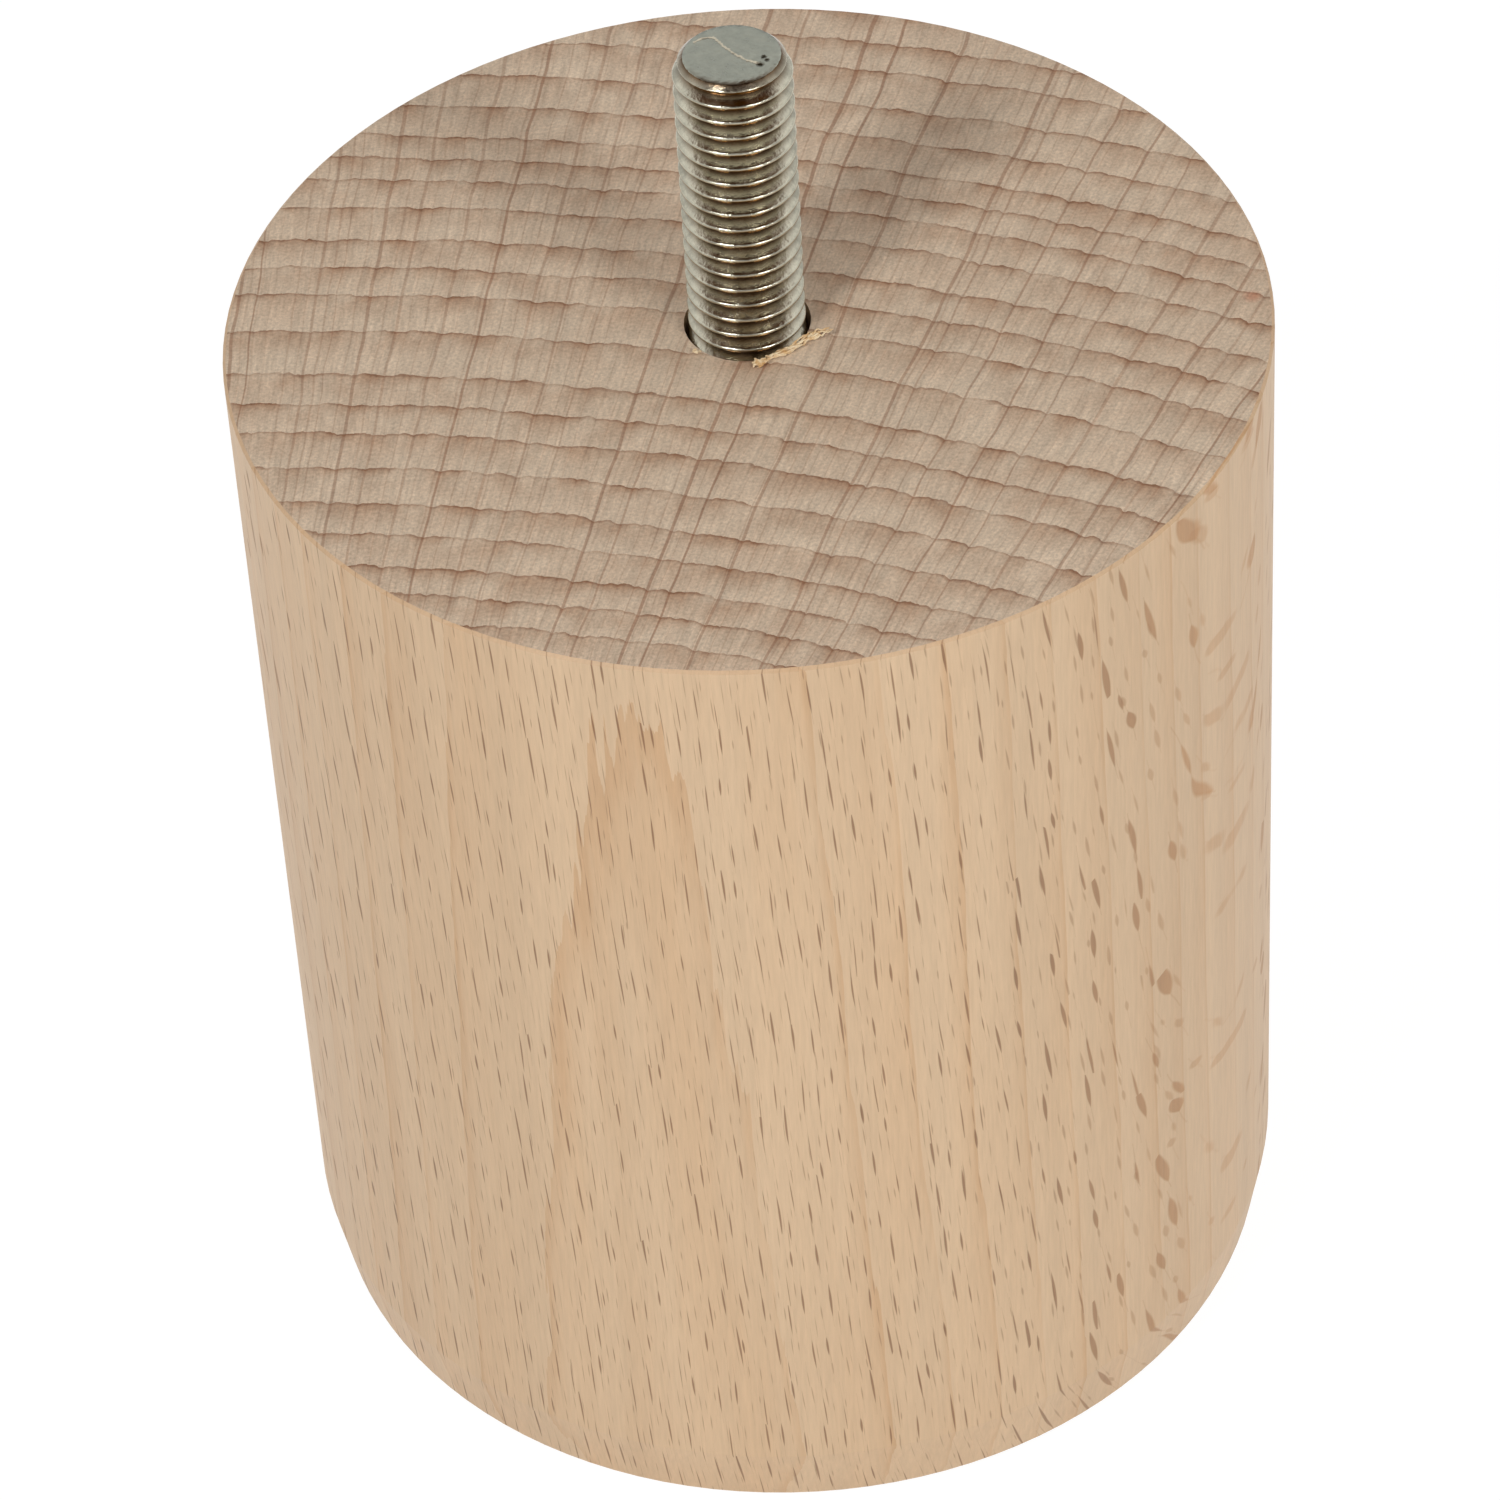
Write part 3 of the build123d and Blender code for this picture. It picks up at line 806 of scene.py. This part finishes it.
def steelMaterial():
    material, tree = newMaterial("nickelPlatedRolledSteel")  # warm grey metal, with painted shade and a painted brown reflection of the wood down in the grooves
    local = addNode(tree, "ShaderNodeMapping", {
        "Vector": addNode(tree, "ShaderNodeTexCoord").outputs["Object"],
        "Scale": (metreInMm, metreInMm, metreInMm),
        "Location": (0, 0, -boltHigh.z * metreInMm),
    })
    x, y, h = addNode(tree, "ShaderNodeSeparateXYZ", {0: local}).outputs
    flat = addNode(tree, "ShaderNodeCombineXYZ", {0: x, 1: y})
    radius = addNode(tree, "ShaderNodeVectorMath", {0: flat}, operation="LENGTH")
    # the grooves are painted dark brown as painted shade and a painted reflection of the wood, fading into
    # the plate's colour towards the crests
    root = bolt["threadDiameter"] / 2 - bolt["threadDepth"]
    rim = root + bolt["grooveShadeRise"]
    crest = addNode(tree, "ShaderNodeMapRange", {0: radius, 1: root, 2: rim})
    cloud = addNode(tree, "ShaderNodeTexNoise", {"Vector": local, "Scale": 1.1, "Detail": 6.0})
    endFace = addNode(tree, "ShaderNodeMath", {0: h, 1: -bolt["endSkin"]}, operation="GREATER_THAN")
    groove, plate = hexColour(bolt["groove"]), hexColour(bolt["plate"])
    sheared = hexColour(bolt["endFace"])
    colour = addNode(tree, "ShaderNodeMix", {0: crest, 6: groove, 7: plate}, data_type="RGBA")
    colour = addNode(tree, "ShaderNodeMix", {0: endFace, 6: colour, 7: sheared}, data_type="RGBA")

    # the shear left a bright ragged scratch across the end face, and a few pits at its rim
    stray, middle = bolt["ragged"], (0.5, 0.5, 0.5)
    ragged = addNode(tree, "ShaderNodeTexNoise", {"Vector": local, "Scale": 3.5, "Detail": 3.0})
    noise = ragged.outputs["Color"]
    ragged = addNode(tree, "ShaderNodeVectorMath", {0: noise, 1: middle}, operation="SUBTRACT")
    ragged = addNode(tree, "ShaderNodeVectorMath", {0: ragged, 1: (stray, stray, 0.0)}, operation="MULTIPLY")
    ragged = addNode(tree, "ShaderNodeVectorMath", {0: ragged, 1: flat}, operation="ADD")
    near = bolt["threadDiameter"]    # mm, further than any place on the end face
    for (startX, startY), (stopX, stopY) in zip(bolt["scratch"], bolt["scratch"][1:]):
        run = Vector((stopX - startX, stopY - startY, 0))
        gap = addNode(tree, "ShaderNodeVectorMath", {0: ragged, 1: (startX, startY, 0)}, operation="SUBTRACT")
        rate = run / run.length_squared
        share = addNode(tree, "ShaderNodeVectorMath", {0: gap, 1: rate}, operation="DOT_PRODUCT")
        share = addNode(tree, "ShaderNodeClamp", {0: share})
        foot = addNode(tree, "ShaderNodeVectorMath", {0: run}, operation="SCALE")
        tree.links.new(share.outputs[0], foot.inputs["Scale"])
        gap = addNode(tree, "ShaderNodeVectorMath", {0: gap, 1: foot}, operation="DISTANCE")
        near = addNode(tree, "ShaderNodeMath", {0: near, 1: gap}, operation="MINIMUM")
    starts, full = bolt["scratchEdge"]
    bright = addNode(tree, "ShaderNodeMapRange", {0: near, 1: starts, 2: full})
    bright = addNode(tree, "ShaderNodeMath", {0: bright, 1: endFace}, operation="MULTIPLY")
    shiny, dark = hexColour(bolt["scratchTone"]), hexColour(bolt["pitTone"])
    colour = addNode(tree, "ShaderNodeMix", {0: bright, 6: colour, 7: shiny}, data_type="RGBA")
    hollow = 0.0
    for pitX, pitY, size in bolt["pits"]:
        gap = addNode(tree, "ShaderNodeVectorMath", {0: ragged, 1: (pitX, pitY, 0)}, operation="DISTANCE")
        gap = addNode(tree, "ShaderNodeMapRange", {0: gap, 1: size, 2: 0.4 * size})
        hollow = addNode(tree, "ShaderNodeMath", {0: hollow, 1: gap}, operation="MAXIMUM")
    hollow = addNode(tree, "ShaderNodeMath", {0: hollow, 1: endFace}, operation="MULTIPLY")
    colour = addNode(tree, "ShaderNodeMix", {0: hollow, 6: colour, 7: dark}, data_type="RGBA")
    dim, clear = bolt["cloudTone"]
    tone = addNode(tree, "ShaderNodeMapRange", {0: cloud, 1: noiseLow, 2: noiseHigh, 3: dim, 4: clear})
    colour = addNode(tree, "ShaderNodeHueSaturation", {"Color": colour, "Value": tone})
    sleek, dull = bolt["roughness"]
    rough = addNode(tree, "ShaderNodeMapRange", {0: cloud, 1: noiseLow, 2: noiseHigh, 3: sleek, 4: dull})
    added = bolt["endRoughness"]
    rough = addNode(tree, "ShaderNodeMath", {0: endFace, 1: added, 2: rough}, operation="MULTIPLY_ADD")
    pit = addNode(tree, "ShaderNodeTexNoise", {"Vector": local, "Scale": 3.0, "Detail": 6.0})
    pit = addNode(tree, "ShaderNodeMath", {0: hollow, 1: -1.0, 2: pit}, operation="MULTIPLY_ADD")
    pit = addNode(tree, "ShaderNodeMath", {0: bright, 1: 0.8, 2: pit}, operation="MULTIPLY_ADD")
    bump = addNode(tree, "ShaderNodeBump", {"Height": pit, "Strength": 0.35, "Distance": 0.1 * mm})
    skin = addNode(tree, "ShaderNodeBsdfPrincipled", {
        "Base Color": colour,
        "Metallic": 1.0,
        "Roughness": rough,
        "Normal": bump,
    })
    addNode(tree, "ShaderNodeOutputMaterial", {"Surface": skin})
    return material


def makeBolt():
    pitch = bolt["threadPitch"] * mm
    stud = (boltHigh.z - topFace) / pitch
    pitches = 1 + bolt["hiddenTurns"] + stud + bolt["closingTurns"]
    piece = meshFromTree("hangerBolt", boltTree(steelMaterial()), {
        "Top": boltHigh.z,
        "Face": topFace,
        "Tip": boltLow.z,
        "Thread Diameter": bolt["threadDiameter"] * mm,
        "Thread Pitch": pitch,
        "Thread Depth": bolt["threadDepth"] * mm,
        "End Flat": bolt["endFlat"] * mm,
        "Shank Diameter": bolt["shankDiameter"] * mm,
        "Shank Length": bolt["shankLength"] * mm,
        "Screw Diameter": bolt["screwDiameter"] * mm,
        "Point Length": bolt["pointLength"] * mm,
        "Columns": bolt["columns"] + 1,
        "Rows": math.ceil(pitches * bolt["rowsPerPitch"]) + 1,
        "Rows Per Pitch": bolt["rowsPerPitch"],
        "Hidden Turns": bolt["hiddenTurns"],
    })
    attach(piece, "root")
    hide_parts("hanger_bolt")
    print("hanger bolt made:", len(piece.data.polygons), "faces")


makeBolt()
